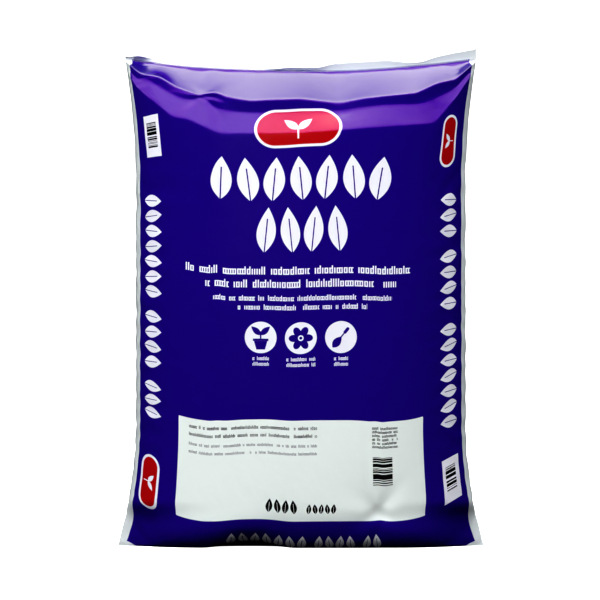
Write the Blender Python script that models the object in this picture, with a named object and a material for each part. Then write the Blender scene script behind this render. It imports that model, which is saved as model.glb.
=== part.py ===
"""A filled pillow bag of compost, standing upright on its flattened bottom.

The bag is one tube of plastic film, sealed across the top and across the bottom. Its fill makes
a lens-shaped section with two soft side edges. The bottom seal is folded under, so that only its
two corners show as flared ears at floor level. At the top the front and the back lean in, over a
crease that runs from corner to corner, and meet in a flat, wavy fin of film.

Metres, +Z up. The front faces -Y, and the origin is on the floor under the middle of the bag.
"""

import math

import bmesh
import bpy

# Heights, at the middle of the bag
SEAL_HEIGHT = 0.582  # from the floor to the top seal
CREASE_DROP = 0.043  # from the top seal down to the crease across the shoulder
SHOULDER_DROP = 0.080  # from the top seal down to where the front and the back begin to lean in
FIN_HEIGHT = 0.013  # flat film above the top seal

# Widths, side to side
WAIST_WIDTH = 0.405  # the filled middle
FOOT_WIDTH = 0.450  # between the two bottom corners
HEAD_WIDTH = 0.431  # between the two top corners
FLARE_HEIGHT = 0.150  # height over which a corner pulls out of the straight side

# Depths, from the middle plane out to the front or the back
BELLY_DEPTH = 0.066  # the fullest part, low on the bag
CHEST_DEPTH = 0.060  # where the shoulder begins
CREASE_DEPTH = 0.047  # at the shoulder crease
FOOT_DEPTH = 0.050  # the flat bottom that the bag stands on
FIN_THICKNESS = 0.0016  # two plies of film and the air between them

# Height over which the front rolls under to the flat bottom
ROLL_HEIGHT = 0.048

# Height of the upright strip of film inside the shoulder crease
CREASE_STRIP = 0.012

# How much higher the crease and the top seal run at the corners than at the middle
CREASE_RISE = 0.050
SEAL_RISE = 0.015

# Waves of the top seal and its fin, seen from above
WAVE_DEPTH = 0.006
WAVE_LENGTH = 0.205
FIN_LEAN = 0.005  # how far the fin's upper edge swings past the seal

# Two star-shaped dents in the front: one on the crease, and one at the panel's lower edge
DENT_DEPTH = 0.0045
DENT_RADIUS = 0.013
CREASE_DENT_X = -0.117
PANEL_DENT_X = 0.095
PANEL_DENT_RISE = 0.007  # above the panel's lower edge

# Print, as seen from the front: the bare margin beside each side edge, and the pale panel
MARGIN_WIDTH = 0.005
PANEL_WIDTH = 0.300
PANEL_BOTTOM = 0.036
PANEL_TOP = 0.160

# Spacing of the mesh's rows and columns
ROW_SPACING = 0.030  # over the belly
FINE_ROW_SPACING = 0.0055  # over the roll at the foot and over the shoulder
FIN_ROW_SPACING = 0.0045
COLUMN_SPACING = 0.0125  # over the panel
FINE_COLUMN_SPACING = 0.0055  # between the panel and a margin
MARGIN_COLUMN_SPACING = 0.0017

# Powers that set how fast each curve bends
SECTION_POWER = 2.5  # front of a filled section
FOOT_SECTION_POWER = 6.0  # front of the flat bottom, which is squarer
SIDE_POWER = 0.58  # side edge of a filled section
FOOT_SIDE_POWER = 1.4  # side edge of the flat bottom, which thins out to its corner
SEAL_POWER = 0.85  # side edge close to the top seal, and the slope up to it
FLARE_POWER = 1.85
CREASE_POWER = 3.0

# Share of a slope's height in which it bends into the surface below and above it
SLOPE_ROUNDING = 0.15

CREASE_HEIGHT = SEAL_HEIGHT - CREASE_DROP
SHOULDER_HEIGHT = SEAL_HEIGHT - SHOULDER_DROP

# The way each side of the bag faces along Y
SIDES = {"front": -1, "back": 1}

# Colour and roughness of each film
FILMS = {
    "printed_film": ((0.013, 0.0003, 0.165), 0.28),
    "bare_film": ((0.74, 0.78, 0.77), 0.32),
    "panel_film": ((0.77, 0.82, 0.80), 0.34),
}


def clear_scene():
    for obj in list(bpy.data.objects):
        bpy.data.objects.remove(obj, do_unlink=True)


def film_material(name):
    colour, roughness = FILMS[name]
    material = bpy.data.materials.new(name)
    material.use_nodes = True
    shader = material.node_tree.nodes["Principled BSDF"]
    shader.inputs["Base Color"].default_value = (*colour, 1.0)
    shader.inputs["Roughness"].default_value = roughness
    shader.inputs["Metallic"].default_value = 0.0
    material.diffuse_color = (*colour, 1.0)
    return material


def ease(value, start, end):
    """0 below start, 1 above end and a smooth step between them."""
    t = min(max((value - start) / (end - start), 0.0), 1.0)
    return t * t * (3 - 2 * t)


def slope(value, start, end):
    """0 below start, 1 above end and a straight slope with rounded ends between them."""
    t = min(max((value - start) / (end - start), 0.0), 1.0)
    if t < SLOPE_ROUNDING:
        climbed = t * t / (2 * SLOPE_ROUNDING)
    elif t > 1 - SLOPE_ROUNDING:
        climbed = 1 - SLOPE_ROUNDING - (1 - t) * (1 - t) / (2 * SLOPE_ROUNDING)
    else:
        climbed = t - SLOPE_ROUNDING / 2
    return climbed / (1 - SLOPE_ROUNDING)


def spread(start, end, spacing):
    """Evenly spaced places from start up to, but without, end."""
    count = max(round((end - start) / spacing), 1)
    return [start + (end - start) * i / count for i in range(count)]


def crease_strip():
    """Lower and upper height of the upright strip inside the shoulder crease."""
    return CREASE_HEIGHT - CREASE_STRIP / 2, CREASE_HEIGHT + CREASE_STRIP / 2


def row_heights():
    """Heights of the rows, at the middle of the bag, from the floor to the seal."""
    strip_bottom, strip_top = crease_strip()
    quarter_turn = 0.5 * math.pi
    angles = spread(0.0, quarter_turn, quarter_turn * FINE_ROW_SPACING / ROLL_HEIGHT)
    return [
        *(ROLL_HEIGHT * (1 - math.cos(angle)) for angle in angles),
        *spread(ROLL_HEIGHT, PANEL_TOP, ROW_SPACING),
        *spread(PANEL_TOP, SHOULDER_HEIGHT, ROW_SPACING),
        *spread(SHOULDER_HEIGHT, strip_bottom, FINE_ROW_SPACING),
        *spread(strip_bottom, strip_top, FINE_ROW_SPACING / 2),
        *spread(strip_top, SEAL_HEIGHT, FINE_ROW_SPACING),
        SEAL_HEIGHT,
    ]


def column_positions():
    """Places of the columns, from -1 at the left side edge to 1 at the right one."""
    half = WAIST_WIDTH / 2
    margin = half - MARGIN_WIDTH
    panel = PANEL_WIDTH / 2
    right = [
        *spread(0.0, panel, COLUMN_SPACING),
        *spread(panel, margin, FINE_COLUMN_SPACING),
        *spread(margin, half, MARGIN_COLUMN_SPACING),
        half,
    ]
    left = [-place for place in reversed(right[1:])]
    return [place / half for place in left + right]


def rise_at_corner(height):
    """How much higher a row ends at the side edges than it runs at the middle."""
    if height > CREASE_HEIGHT:
        share = (height - CREASE_HEIGHT) / (SEAL_HEIGHT - CREASE_HEIGHT)
        return CREASE_RISE + (SEAL_RISE - CREASE_RISE) * share
    start = SHOULDER_HEIGHT - FLARE_HEIGHT
    return CREASE_RISE * ease(height, start, CREASE_HEIGHT)


def half_width(height):
    """Half the width at a height of the side edge."""
    foot = max(1 - height / FLARE_HEIGHT, 0.0) ** FLARE_POWER
    below_head = SEAL_HEIGHT + SEAL_RISE - height
    head = min(max(1 - below_head / FLARE_HEIGHT, 0.0), 1.0) ** FLARE_POWER
    width = WAIST_WIDTH + (FOOT_WIDTH - WAIST_WIDTH) * foot + (HEAD_WIDTH - WAIST_WIDTH) * head
    return width / 2


def half_depth(height):
    """Depth from the middle plane to the front, at the middle of a row."""
    if height < ROLL_HEIGHT:
        left = 1 - height / ROLL_HEIGHT
        return FOOT_DEPTH + (BELLY_DEPTH - FOOT_DEPTH) * math.sqrt(1 - left * left)
    strip_bottom, strip_top = crease_strip()
    if height < strip_top:
        chest = (CHEST_DEPTH - BELLY_DEPTH) * ease(height, ROLL_HEIGHT, SHOULDER_HEIGHT)
        band = (CREASE_DEPTH - CHEST_DEPTH) * slope(height, SHOULDER_HEIGHT, strip_bottom)
        return BELLY_DEPTH + chest + band
    share = (height - strip_top) / (SEAL_HEIGHT - strip_top)
    return FIN_THICKNESS / 2 + (CREASE_DEPTH - FIN_THICKNESS / 2) * (1 - share) ** SEAL_POWER


def section_share(across, height):
    """Share of the middle's depth that the section has at a place between the side edges."""
    foot = 1 - ease(height, 0.0, ROLL_HEIGHT * 2)
    head = ease(height, SHOULDER_HEIGHT, SEAL_HEIGHT)
    front_power = SECTION_POWER + (FOOT_SECTION_POWER - SECTION_POWER) * foot
    side_power = SIDE_POWER + (SEAL_POWER - SIDE_POWER) * head
    side_power += (FOOT_SIDE_POWER - SIDE_POWER) * foot
    return (1 - abs(across) ** front_power) ** side_power


def dent(x, height):
    """Depth of the star-shaped dents where the front's row of that height passes x."""
    centres = [
        (CREASE_DENT_X, CREASE_HEIGHT),
        (PANEL_DENT_X, PANEL_BOTTOM + PANEL_DENT_RISE),
    ]
    depth = 0.0
    for centre_x, centre_height in centres:
        distance = math.hypot(x - centre_x, height - centre_height) / DENT_RADIUS
        depth += DENT_DEPTH * math.exp(-distance * distance)
    return depth


def seal_wave(x):
    """How far the top seal wanders out of the middle plane."""
    return WAVE_DEPTH * math.sin(2 * math.pi * x / WAVE_LENGTH)


def film_point(across, height, side):
    """Point of the film: across runs from -1 to 1 between the side edges."""
    width = half_width(height + rise_at_corner(height))
    x = width * across
    z = height + rise_at_corner(height) * abs(across) ** CREASE_POWER
    section = section_share(across, height)
    depth = half_depth(height) * section
    if side == "front":
        depth = max(depth - dent(x, height) * section, FIN_THICKNESS / 2 * section)
    wave = seal_wave(x) * ease(height, SHOULDER_HEIGHT, SEAL_HEIGHT)
    return (x, wave + SIDES[side] * depth, z)


def fin_point(across, share, side):
    """Point of the fin: share runs from 0 at the seal to 1 at its upper edge."""
    x, _, z = film_point(across, SEAL_HEIGHT, side)
    section = section_share(across, SEAL_HEIGHT)
    lean = FIN_LEAN * math.sin(2 * math.pi * x / WAVE_LENGTH + math.pi / 3) * share
    y = seal_wave(x) + lean + SIDES[side] * FIN_THICKNESS / 2 * section
    return (x, y, z + FIN_HEIGHT * share)


def ring(columns, point_of_row):
    """Points round one row: along the front from left to right, and back along the rear."""
    front = [point_of_row(across, "front") for across in columns]
    rear = [point_of_row(across, "back") for across in reversed(columns[1:-1])]
    return front + rear


def all_rings(columns):
    """The bag's rows from the floor up to the fin's upper edge."""
    rings = []
    for height in row_heights():
        rings.append(ring(columns, lambda across, side, h=height: film_point(across, h, side)))
    for share in [*spread(0.0, 1.0, FIN_ROW_SPACING / FIN_HEIGHT)[1:], 1.0]:
        rings.append(ring(columns, lambda across, side, s=share: fin_point(across, s, side)))
    return rings


def close_end(mesh, verts):
    """Closes a ring with a ladder of faces between its front and its rear. It returns them."""
    faces = []
    for i in range(len(verts) // 2):
        corners = [verts[i], verts[i + 1], verts[-i - 1], verts[-i]]
        without_repeats = list(dict.fromkeys(corners))
        faces.append(mesh.faces.new(without_repeats))
    return faces


def film_name(across, height, side):
    """Which film a place of the bag shows."""
    place = WAIST_WIDTH / 2 * abs(across)
    if height > SEAL_HEIGHT or place > WAIST_WIDTH / 2 - MARGIN_WIDTH:
        return "bare_film"
    if side == "front" and place < PANEL_WIDTH / 2 and PANEL_BOTTOM < height < PANEL_TOP:
        return "panel_film"
    return "printed_film"


def make_bag(collection):
    columns = column_positions()
    heights = row_heights()
    films = list(FILMS)
    mesh = bmesh.new()
    rings = [[mesh.verts.new(point) for point in points] for points in all_rings(columns)]
    last = len(columns) - 1
    for row, (lower, upper) in enumerate(zip(rings[:-1], rings[1:], strict=True)):
        on_fin = row >= len(heights) - 1
        height = math.inf if on_fin else (heights[row] + heights[row + 1]) / 2
        for i in range(2 * last):
            j = (i + 1) % (2 * last)
            face = mesh.faces.new([lower[i], lower[j], upper[j], upper[i]])
            side = "front" if i < last else "back"
            column = i if i < last else 2 * last - 1 - i
            across = (columns[column] + columns[column + 1]) / 2
            face.material_index = films.index(film_name(across, height, side))
    close_end(mesh, rings[0])
    for face in close_end(mesh, rings[-1]):
        face.material_index = films.index("bare_film")
    bmesh.ops.recalc_face_normals(mesh, faces=mesh.faces)
    data = bpy.data.meshes.new("bag")
    mesh.to_mesh(data)
    mesh.free()
    data.shade_smooth()
    data.set_sharp_from_angle(angle=math.radians(60))
    for name in films:
        data.materials.append(film_material(name))
    bag = bpy.data.objects.new("bag", data)
    collection.objects.link(bag)


def main():
    clear_scene()
    collection = bpy.data.collections.new("compost_bag")
    bpy.context.scene.collection.children.link(collection)
    make_bag(collection)


main()
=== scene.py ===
"""Looks of a filled, printed compost bag that stands on its flattened bottom.

The bag is one tube of glossy film. It is lofted as a grid whose lines follow the film, puckered
by a short cloth simulation, subdivided and then printed by a material that reads the film's own
coordinates: across the film from the middle of the front, and up the film from the bottom seal.
"""

import functools
import math
import operator

import bpy
import numpy as np
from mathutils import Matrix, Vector


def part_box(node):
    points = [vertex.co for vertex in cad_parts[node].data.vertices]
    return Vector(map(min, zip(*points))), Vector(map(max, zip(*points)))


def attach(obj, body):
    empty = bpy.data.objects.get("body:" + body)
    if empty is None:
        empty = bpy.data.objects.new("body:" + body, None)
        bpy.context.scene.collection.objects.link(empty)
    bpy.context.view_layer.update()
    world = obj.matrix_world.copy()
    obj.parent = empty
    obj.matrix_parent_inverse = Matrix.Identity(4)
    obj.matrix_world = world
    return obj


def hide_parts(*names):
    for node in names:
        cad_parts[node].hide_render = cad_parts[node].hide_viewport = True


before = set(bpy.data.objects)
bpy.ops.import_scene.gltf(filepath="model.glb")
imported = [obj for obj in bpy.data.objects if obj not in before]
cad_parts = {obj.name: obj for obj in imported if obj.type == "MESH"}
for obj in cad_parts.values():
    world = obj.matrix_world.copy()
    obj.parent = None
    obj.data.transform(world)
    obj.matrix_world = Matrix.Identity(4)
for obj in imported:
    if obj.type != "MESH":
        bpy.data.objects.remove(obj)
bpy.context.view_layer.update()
BAG_LOW, BAG_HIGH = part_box("bag")

bl_info = {
    "name": "Compost Bag",
    "version": (1, 0, 0),
    "blender": (4, 5, 0),
    "location": "View3D > Sidebar > Compost Bag",
    "description": "Builds a filled pillow bag of printed film and its studio",
    "category": "Add Mesh",
}


# Settings


def length_setting(name, description, default):
    return bpy.props.FloatProperty(name=name, description=description, default=default, unit="LENGTH")


def colour_setting(name, description, default):
    return bpy.props.FloatVectorProperty(
        name=name, description=description, default=default, subtype="COLOR", min=0.0, max=1.0
    )


class FilmShape(bpy.types.PropertyGroup):
    """Sizes of the filled bag."""

    foot_width: length_setting(
        "Foot width", "Distance between the two lower corners", BAG_HIGH[0] - BAG_LOW[0]
    )
    waist_width: length_setting("Waist width", "Width of the filled middle", 0.405)
    head_width: length_setting("Head width", "Distance between the two upper corners", 0.431)
    belly_depth: length_setting(
        "Belly depth", "Distance from the middle plane to the fullest part of the front", -BAG_LOW[1]
    )
    chest_depth: length_setting(
        "Chest depth", "Distance from the middle plane to the front where the shoulder begins", 0.060
    )
    crease_depth: length_setting(
        "Crease depth", "Distance from the middle plane to the shoulder crease", 0.047
    )
    foot_depth: length_setting(
        "Foot depth", "Distance from the middle plane to the edge of the flat bottom", 0.036
    )
    film_thickness: length_setting("Film thickness", "Thickness of the fin's two plies", 0.0006)


class Seams(bpy.types.PropertyGroup):
    """Sizes of the heat seals."""

    rib_pitch: length_setting("Rib pitch", "Distance between the ribs of the top seal", 0.0025)
    rib_width: length_setting("Rib width", "Width of one rib", 0.0010)
    rib_height: length_setting("Rib height", "Height of the ribs above the seal", 0.0030)
    rib_depth: length_setting("Rib depth", "Depth of a rib through both plies of the fin", 0.0014)
    lap_width: length_setting("Lap width", "Width of the lap seam down the back", 0.016)
    lap_rise: length_setting("Lap rise", "How far the lap seam stands proud of the back", 0.0008)


class FilmPrint(bpy.types.PropertyGroup):
    """Colours of the film and its print."""

    ink: colour_setting("Ink", "Deep violet of the printed ground", (0.019, 0.0005, 0.218))
    bare: colour_setting(
        "Bare film", "Unprinted white film of the margins and the fin", (0.71, 0.76, 0.775)
    )
    panel: colour_setting("Panel", "Pale panel low on the front", (0.80, 0.86, 0.84))
    red: colour_setting("Red", "Fields of the badges", (0.42, 0.004, 0.008))
    white: colour_setting("White", "White marks on the ink", (0.82, 0.82, 0.90))
    grey: colour_setting("Grey", "Thin strokes on the panel", (0.22, 0.23, 0.25))
    black: colour_setting("Black", "Bold strokes, leaves and stripes", (0.008, 0.008, 0.009))


class Studio(bpy.types.PropertyGroup):
    """Place and scale of the camera."""

    distance: length_setting(
        "Camera distance", "Distance from the camera to the bag's middle plane", 3.5
    )
    pixel: length_setting(
        "Pixel size", "Width that one of the picture's 600 pixels covers at the middle plane", 0.0012285
    )


# The bag's form

# Heights at the middle of the bag
SEAL_HEIGHT = 0.582
CREASE_DROP = 0.043
SHOULDER_DROP = 0.080
CREASE_STRIP = 0.012
ROLL_HEIGHT = 0.055
FLARE_HEIGHT = 0.150
EAR_HEIGHTS = (0.012, 0.056)
SEAL_RISE = 0.015

CREASE_HEIGHT = SEAL_HEIGHT - CREASE_DROP
SHOULDER_HEIGHT = SEAL_HEIGHT - SHOULDER_DROP
STRIP_BOTTOM = CREASE_HEIGHT - CREASE_STRIP / 2
STRIP_TOP = CREASE_HEIGHT + CREASE_STRIP / 2

# Powers that set how fast each curve bends
SECTION_POWER = 2.5
FOOT_SECTION_POWER = 6.0
SIDE_POWER = 0.58
FOOT_SIDE_POWER = 2.2
SEAL_POWER = 1.25
SEAL_SIDE_POWER = 0.85
FLARE_POWER = 1.85
SEAL_RISE_POWER = 2.2
SLOPE_ROUNDING = 0.15

# Wave of the top seal, seen from above
WAVE_DEPTH = 0.006
WAVE_LENGTH = 0.205

# Lines of the crumpled shoulder, as x and z on the front
LINE_HALF_WIDTH = 0.205
LINE_ROUNDING = 0.004
LINE_SAMPLES = 5
LEAN_POWER = 1.5
FRONT_BAND_FOOT = (
    (-0.205, 0.583), (-0.194, 0.561), (-0.164, 0.535), (-0.151, 0.522), (-0.132, 0.519),
    (-0.095, 0.500), (0.000, 0.502), (0.107, 0.510), (0.157, 0.514), (0.163, 0.523),
    (0.178, 0.542), (0.190, 0.560), (0.205, 0.583),
)
FRONT_CREASE_FOOT = (
    (-0.205, 0.589), (-0.192, 0.573), (-0.178, 0.571), (-0.158, 0.558), (-0.142, 0.549),
    (-0.117, 0.548), (-0.106, 0.541), (-0.080, 0.533), (-0.061, 0.531), (0.049, 0.531),
    (0.073, 0.536), (0.095, 0.540), (0.139, 0.543), (0.156, 0.551), (0.180, 0.561), (0.205, 0.589),
)
FRONT_CREASE_TOP = (
    (-0.205, 0.594), (-0.187, 0.578), (-0.164, 0.574), (-0.145, 0.561), (-0.117, 0.551),
    (-0.100, 0.555), (-0.089, 0.549), (-0.059, 0.543), (0.000, 0.546), (0.044, 0.541),
    (0.073, 0.547), (0.134, 0.553), (0.159, 0.566), (0.180, 0.571), (0.205, 0.594),
)
BACK_BAND_FOOT = (
    (-0.205, 0.583), (-0.170, 0.535), (-0.100, 0.506), (0.000, 0.500), (0.090, 0.508),
    (0.160, 0.522), (0.205, 0.583),
)
BACK_CREASE_FOOT = (
    (-0.205, 0.589), (-0.160, 0.556), (-0.090, 0.538), (0.020, 0.533), (0.120, 0.545),
    (0.165, 0.556), (0.205, 0.589),
)
BACK_CREASE_TOP = (
    (-0.205, 0.594), (-0.155, 0.567), (-0.080, 0.550), (0.030, 0.545), (0.115, 0.556),
    (0.170, 0.573), (0.205, 0.594),
)

# Upper edge of the fin: x, how far it stands above the seal, and how far it leans to the back
FIN_EDGE = (
    (-0.214, 0.003, -0.002), (-0.197, 0.007, -0.008), (-0.187, 0.006, -0.002), (-0.172, 0.008, 0.008),
    (-0.120, 0.009, 0.009), (-0.085, 0.008, 0.009), (-0.058, 0.005, 0.006), (-0.032, 0.002, -0.003),
    (-0.018, 0.005, -0.003), (0.024, 0.005, -0.003), (0.038, 0.010, -0.002), (0.065, 0.011, -0.002),
    (0.105, 0.011, -0.002), (0.120, 0.008, -0.002), (0.134, 0.005, -0.002), (0.150, 0.005, -0.002),
    (0.163, 0.009, -0.002), (0.180, 0.011, -0.002), (0.214, 0.013, -0.002),
)

# Star-shaped puckers in the front: x, z, radius, depth, rays and the turn of the rays
PUCKERS = (
    (-0.117, 0.5495, 0.020, 0.0060, 7, 0.5),
    (0.094, 0.0415, 0.021, 0.0110, 5, 1.2),
)
RAY_DEPTH = 0.38
RAY_START = 0.5

# A shallow arch where the front's foot lifts off the floor
LIFT_HEIGHT = 0.008
LIFT_LEFT = (-0.120, -0.066)
LIFT_RIGHT = (-0.056, -0.008)
LIFT_FADE = 0.035

# Counts of the film's rows and columns
COLUMNS = 88
BASE_ROWS = 7
ROLL_ROWS = 11
BELLY_ROWS = 62
BAND_ROWS = 12
STRIP_ROWS = 5
TOP_ROWS = 14
FIN_ROWS = 4

# The film's own coordinates: half its flat width, its whole round, where the print's
# heights start and the height that the UV map holds
FLAT_HALF_WIDTH = 0.225
FILM_ROUND = 4 * FLAT_HALF_WIDTH
FILM_START = 0.0063
FILM_ROOM = 0.72

# Cloth simulation of the film
SIM_FRAMES = 18
SIM_QUALITY = 6
SIM_MASS = 0.2
SIM_PRESSURE = 3.0
SIM_STRETCH = 25
SIM_SHEAR = 12
SIM_BENDING = 0.15
SIM_HOLD = 0.6
SPARE_FILM = 0.02
WALL_HOLD = 0.35
WRINKLE_CAP = 0.0035
BLUR_PASSES = 14

# Shares of the wrinkles that the film keeps
FRONT_WRINKLES = 0.20
SIDE_WRINKLES = 0.45
BACK_WRINKLES = 0.8
SIDE_FADE = (0.70, 0.92)
SHOULDER_LOSS = 0.6
SHOULDER_FADE = (-0.03, 0.01)

LEAST_LENGTH = 1e-9


def ease(value, start, end):
    """0 before start, 1 after end and a smooth step between them."""
    t = np.clip((value - start) / (end - start), 0.0, 1.0)
    return t * t * (3 - 2 * t)


def slope(value, start, end):
    """0 before start, 1 after end and a straight slope with rounded ends between them."""
    t = min(max((value - start) / (end - start), 0.0), 1.0)
    if t < SLOPE_ROUNDING:
        climbed = t * t / (2 * SLOPE_ROUNDING)
    elif t > 1 - SLOPE_ROUNDING:
        climbed = 1 - SLOPE_ROUNDING - (1 - t) ** 2 / (2 * SLOPE_ROUNDING)
    else:
        climbed = t - SLOPE_ROUNDING / 2
    return climbed / (1 - SLOPE_ROUNDING)


def line_at(line, across):
    """Height of a line of the shoulder, with its corners softened."""
    places, heights = zip(*line, strict=True)
    shifts = np.linspace(-LINE_ROUNDING, LINE_ROUNDING, LINE_SAMPLES)
    x = np.asarray(across) * LINE_HALF_WIDTH
    inside = np.clip((LINE_HALF_WIDTH - np.abs(x)) / LINE_ROUNDING, 0.0, 1.0)
    return np.mean([np.interp(x + shift * inside, places, heights) for shift in shifts], axis=0)


def rise(across, height, side):
    """How much higher the row of a height runs at a place than at the middle."""
    if side < 0:
        lines = (FRONT_BAND_FOOT, FRONT_CREASE_FOOT, FRONT_CREASE_TOP)
    else:
        lines = (BACK_BAND_FOOT, BACK_CREASE_FOOT, BACK_CREASE_TOP)
    knots = (SHOULDER_HEIGHT, STRIP_BOTTOM, STRIP_TOP, SEAL_HEIGHT)
    rises = [line_at(line, across) - knot for line, knot in zip(lines, knots[:3], strict=True)]
    rises.append(SEAL_RISE * np.abs(across) ** SEAL_RISE_POWER)
    if height <= SHOULDER_HEIGHT:
        return rises[0] * ease(height, SHOULDER_HEIGHT - FLARE_HEIGHT, SHOULDER_HEIGHT)
    for low in range(3):
        if height <= knots[low + 1]:
            share = (height - knots[low]) / (knots[low + 1] - knots[low])
            return rises[low] + (rises[low + 1] - rises[low]) * share
    return rises[3]


def half_width(shape, height):
    """Half the width at a height of the side edge."""
    foot = np.clip(1 - height / FLARE_HEIGHT, 0.0, 1.0) ** FLARE_POWER
    below_head = SEAL_HEIGHT + SEAL_RISE - height
    head = np.clip(1 - below_head / FLARE_HEIGHT, 0.0, 1.0) ** FLARE_POWER
    width = shape.waist_width
    width = width + (shape.foot_width - shape.waist_width) * foot
    width = width + (shape.head_width - shape.waist_width) * head
    return width / 2


def half_depth(shape, height):
    """Depth from the middle plane to the front, at the middle of a row."""
    if height < ROLL_HEIGHT:
        left = 1 - height / ROLL_HEIGHT
        return shape.foot_depth + (shape.belly_depth - shape.foot_depth) * math.sqrt(1 - left * left)
    if height < STRIP_TOP:
        chest = (shape.chest_depth - shape.belly_depth) * ease(height, ROLL_HEIGHT, SHOULDER_HEIGHT)
        band = (shape.crease_depth - shape.chest_depth) * slope(height, SHOULDER_HEIGHT, STRIP_BOTTOM)
        return shape.belly_depth + chest + band
    half_film = shape.film_thickness / 2
    share = min((height - STRIP_TOP) / (SEAL_HEIGHT - STRIP_TOP), 1.0)
    return half_film + (shape.crease_depth - half_film) * (1 - share) ** SEAL_POWER


def section_share(across, height):
    """Share of the middle's depth that the section has at a place between the side edges."""
    foot = 1 - ease(height, *EAR_HEIGHTS)
    head = ease(height, STRIP_TOP, SEAL_HEIGHT)
    front_power = SECTION_POWER + (FOOT_SECTION_POWER - SECTION_POWER) * foot
    side_power = SIDE_POWER + (SEAL_SIDE_POWER - SIDE_POWER) * head
    side_power = side_power + (FOOT_SIDE_POWER - SIDE_POWER) * foot
    return (1 - np.abs(across) ** front_power) ** side_power


def seal_wave(x):
    """How far the top seal wanders out of the middle plane."""
    return WAVE_DEPTH * np.sin(2 * math.pi * x / WAVE_LENGTH)


def pucker(x, z):
    """Depth of the star-shaped puckers."""
    depth = 0.0
    for centre_x, centre_z, radius, deepest, rays, turn in PUCKERS:
        distance = np.hypot(x - centre_x, z - centre_z) / radius
        angle = np.arctan2(z - centre_z, x - centre_x)
        star = (1 - RAY_DEPTH) + RAY_DEPTH * np.cos(rays * angle + turn)
        shallower = (1 - star) * ease(distance, 0.0, RAY_START)
        depth = depth + deepest * np.exp(-distance) * (1 - shallower)
    return depth


def foot_lift(x, height):
    """How far the front's foot lifts off the floor."""
    arch = ease(x, *LIFT_LEFT) * (1 - ease(x, *LIFT_RIGHT))
    return LIFT_HEIGHT * arch * (1 - ease(height, 0.0, LIFT_FADE))


def film_points(shape, across, height, side):
    """Points of one row of the bag's wall, as an array of x, y and z."""
    edge = np.where(across < 0, rise(-1.0, height, side), rise(1.0, height, side))
    x = half_width(shape, height + edge) * across
    z = height + rise(across, height, side)
    section = section_share(across, height)
    depth = half_depth(shape, height) * section
    if side < 0:
        depth = np.maximum(depth - pucker(x, z) * section, shape.film_thickness / 2 * section)
        z = z + foot_lift(x, height)
    wave = seal_wave(x) * ease(height, SHOULDER_HEIGHT, SEAL_HEIGHT)
    return np.stack([x, wave + side * depth, z], axis=-1)


def base_points(shape, across, share, side):
    """Points of the flat bottom: share runs from 0 at the seal under it to 1 at its edge."""
    points = film_points(shape, across, 0.0, side)
    points[:, 1] *= share
    points[:, 2] *= share**3
    return points


def fin_points(shape, across, share, side):
    """Points of the fin: share runs from 0 at the seal to 1 at its upper edge."""
    points = film_points(shape, across, SEAL_HEIGHT, side)
    x = points[:, 0]
    places, heights, leans = zip(*FIN_EDGE, strict=True)
    shifts = np.linspace(-LINE_ROUNDING, LINE_ROUNDING, LINE_SAMPLES)
    height = np.mean([np.interp(x + shift, places, heights) for shift in shifts], axis=0)
    lean = np.mean([np.interp(x + shift, places, leans) for shift in shifts], axis=0)
    plies = side * shape.film_thickness / 2 * section_share(across, SEAL_HEIGHT)
    points[:, 1] = seal_wave(x) + lean * share**LEAN_POWER + plies
    points[:, 2] += height * share
    return points


def wall_heights():
    """Heights of the wall's rows, at the middle of the bag."""
    angles = np.linspace(0, math.pi / 2, ROLL_ROWS + 1)[:-1]
    return np.concatenate(
        [
            ROLL_HEIGHT * (1 - np.cos(angles)),
            np.linspace(ROLL_HEIGHT, SHOULDER_HEIGHT, BELLY_ROWS + 1)[:-1],
            np.linspace(SHOULDER_HEIGHT, STRIP_BOTTOM, BAND_ROWS + 1)[:-1],
            np.linspace(STRIP_BOTTOM, STRIP_TOP, STRIP_ROWS + 1)[:-1],
            np.linspace(STRIP_TOP, SEAL_HEIGHT, TOP_ROWS + 1),
        ]
    )


def film_grid(shape):
    """Points of the film, rows by places round a row, from the bottom seal up to the fin's edge."""
    columns = np.sin(np.linspace(-math.pi / 2, math.pi / 2, COLUMNS + 1))
    around = [(columns, -1), (columns[-2:0:-1], 1)]
    makers = [
        *((base_points, share) for share in np.linspace(0, 1, BASE_ROWS + 1)[:-1]),
        *((film_points, height) for height in wall_heights()),
        *((fin_points, share) for share in np.linspace(0, 1, FIN_ROWS + 1)[1:]),
    ]
    rows = [
        np.concatenate([make(shape, across, level, side) for across, side in around])
        for make, level in makers
    ]
    return np.array(rows)


def film_coordinates(grid):
    """Across and up the film, in metres, for each point of the grid and the ring's closing one."""
    closed = np.concatenate([grid, grid[:, :1]], axis=1)
    steps = np.linalg.norm(np.diff(closed, axis=1), axis=2)
    arc = np.concatenate([np.zeros((len(grid), 1)), np.cumsum(steps, axis=1)], axis=1)
    quarter = COLUMNS // 2
    across = np.zeros_like(arc)
    for centre, shift in ((quarter, 0.0), (3 * quarter, 2 * FLAT_HALF_WIDTH)):
        for edge, direction in ((centre - quarter, -1), (centre + quarter, 1)):
            places = np.arange(min(centre, edge), max(centre, edge) + 1)
            from_centre = np.abs(arc[:, places] - arc[:, [centre]])
            total = np.maximum(np.abs(arc[:, [edge]] - arc[:, [centre]]), LEAST_LENGTH)
            share = from_centre / total
            across[:, places] = shift + direction * (from_centre + share**2 * (FLAT_HALF_WIDTH - total))
    rises = np.linalg.norm(np.diff(closed, axis=0), axis=2)
    up = np.concatenate([np.zeros((1, arc.shape[1])), np.cumsum(rises, axis=0)], axis=0)
    seal = len(grid) - FIN_ROWS - 1
    length = up[seal, quarter]
    share = np.minimum(up / up[[seal]], 1.0)
    return across, up + share * (length - up[[seal]])


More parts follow.
